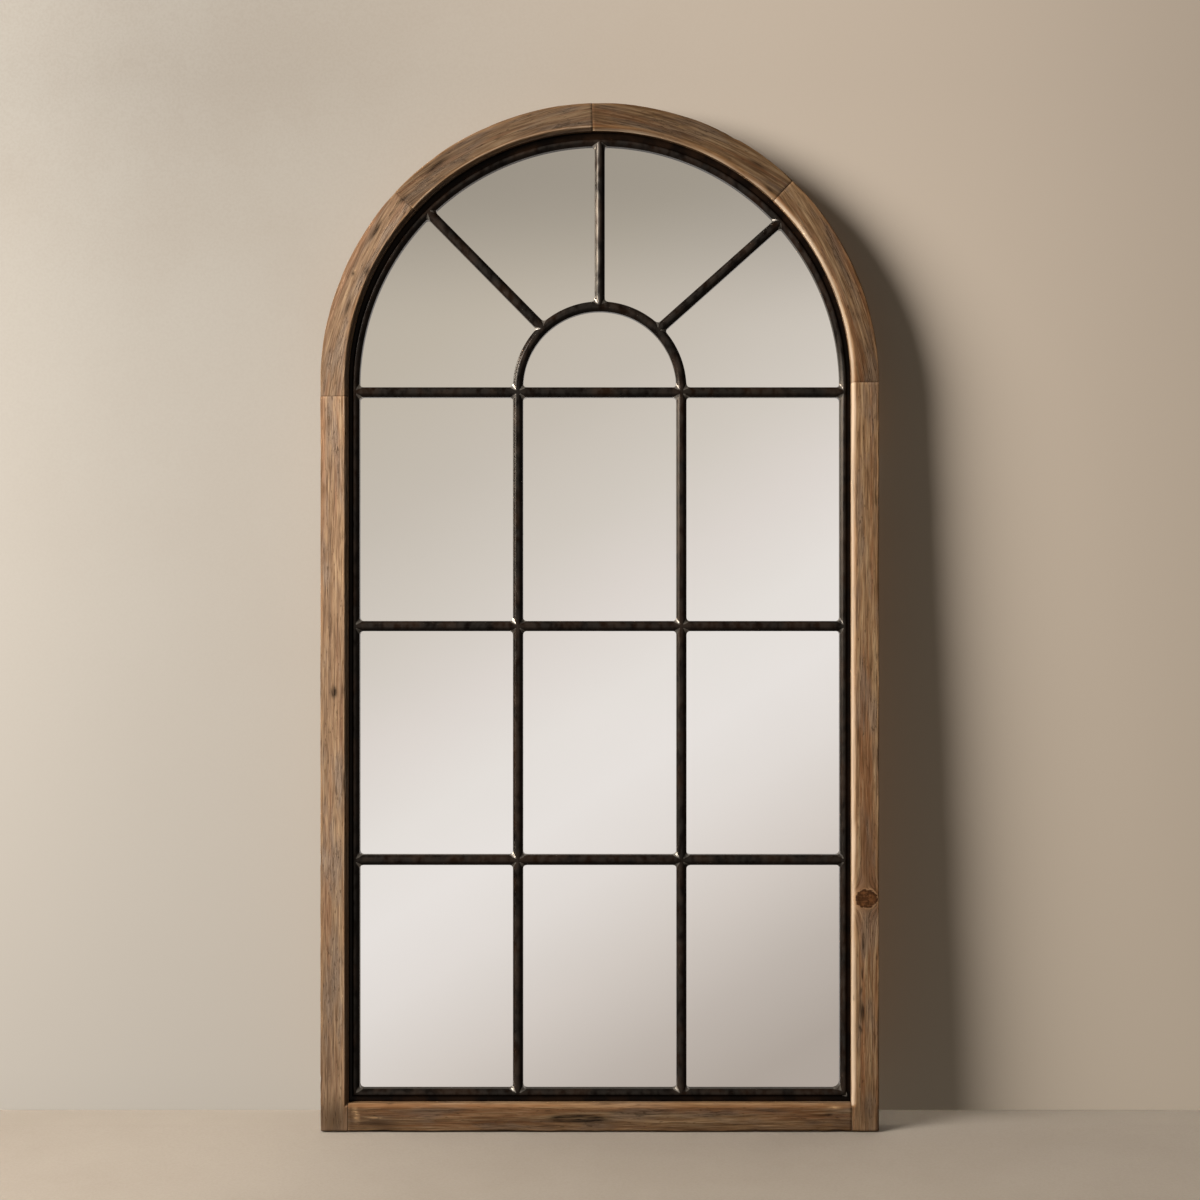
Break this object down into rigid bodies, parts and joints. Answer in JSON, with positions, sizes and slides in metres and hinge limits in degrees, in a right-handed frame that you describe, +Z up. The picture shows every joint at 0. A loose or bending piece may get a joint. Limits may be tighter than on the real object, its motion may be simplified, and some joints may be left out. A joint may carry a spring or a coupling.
{
  "type": "wall mirror",
  "caption": "Arched window-pane mirror: weathered wood frame, welded iron grid with a fan top over silvered glass, D-ring hangers behind. Stands, leans or hangs.",
  "frame": {"origin": "on the floor, in the middle of the width and of the overall depth", "axes": "+X to the right as seen from the front, +Y from the face towards the wall, +Z up"},
  "size_m": [0.66, 0.038, 1.214],
  "materials": {
    "weathered_wood": "solid weathered softwood, matt, old wax in the pores",
    "bronzed_iron": "hand-worked iron with a dark bronze-black coat, rubbed through on the edges",
    "silvered_glass": "polished, silvered on the back",
    "hardboard": "smooth brown hardboard",
    "dowel_beech": "plain turned beech",
    "setting_rubber": "matt black rubber strip",
    "zinc_plate": "bright zinc-plated steel",
    "bumper_rubber": "soft matt rubber"
  },
  "bodies": {
    "mirror": {"left_stile": "weathered_wood", "right_stile": "weathered_wood", "bottom_rail": "weathered_wood", "arch_left_lower": "weathered_wood", "arch_left_upper": "weathered_wood", "arch_right_upper": "weathered_wood", "arch_right_lower": "weathered_wood", "hoop_arch": "bronzed_iron", "hoop_sill": "bronzed_iron", "muntin_left": "bronzed_iron", "muntin_right": "bronzed_iron", "crossbar_lower_left": "bronzed_iron", "crossbar_lower_centre": "bronzed_iron", "crossbar_lower_right": "bronzed_iron", "crossbar_middle_left": "bronzed_iron", "crossbar_middle_centre": "bronzed_iron", "crossbar_middle_right": "bronzed_iron", "crossbar_upper_left": "bronzed_iron", "crossbar_upper_centre": "bronzed_iron", "crossbar_upper_right": "bronzed_iron", "fan_ring": "bronzed_iron", "spoke_left": "bronzed_iron", "spoke_centre": "bronzed_iron", "spoke_right": "bronzed_iron", "weld_fillets": "bronzed_iron", "mirror_glass": "silvered_glass", "setting_blocks": "setting_rubber", "backing_board": "hardboard", "frame_dowels": "dowel_beech", "backing_screws": "zinc_plate", "hardware_screws": "zinc_plate", "corner_bracket_left": "zinc_plate", "corner_bracket_right": "zinc_plate", "hanger_strap_left": "zinc_plate", "hanger_strap_right": "zinc_plate", "wall_bumpers": "bumper_rubber"},
    "left_ring": {"hanger_ring_left": "zinc_plate"},
    "right_ring": {"hanger_ring_right": "zinc_plate"}
  },
  "joints": [
    {"name": "left_ring_swing", "type": "hinge", "parent": "mirror", "child": "left_ring", "pos_m": [-0.3205, 0.0166, 0.8], "axis": [1, 0, 0], "range_deg": [0, 180]},
    {"name": "right_ring_swing", "type": "hinge", "parent": "mirror", "child": "right_ring", "pos_m": [0.3205, 0.0166, 0.8], "axis": [1, 0, 0], "range_deg": [0, 180]}
  ]
}
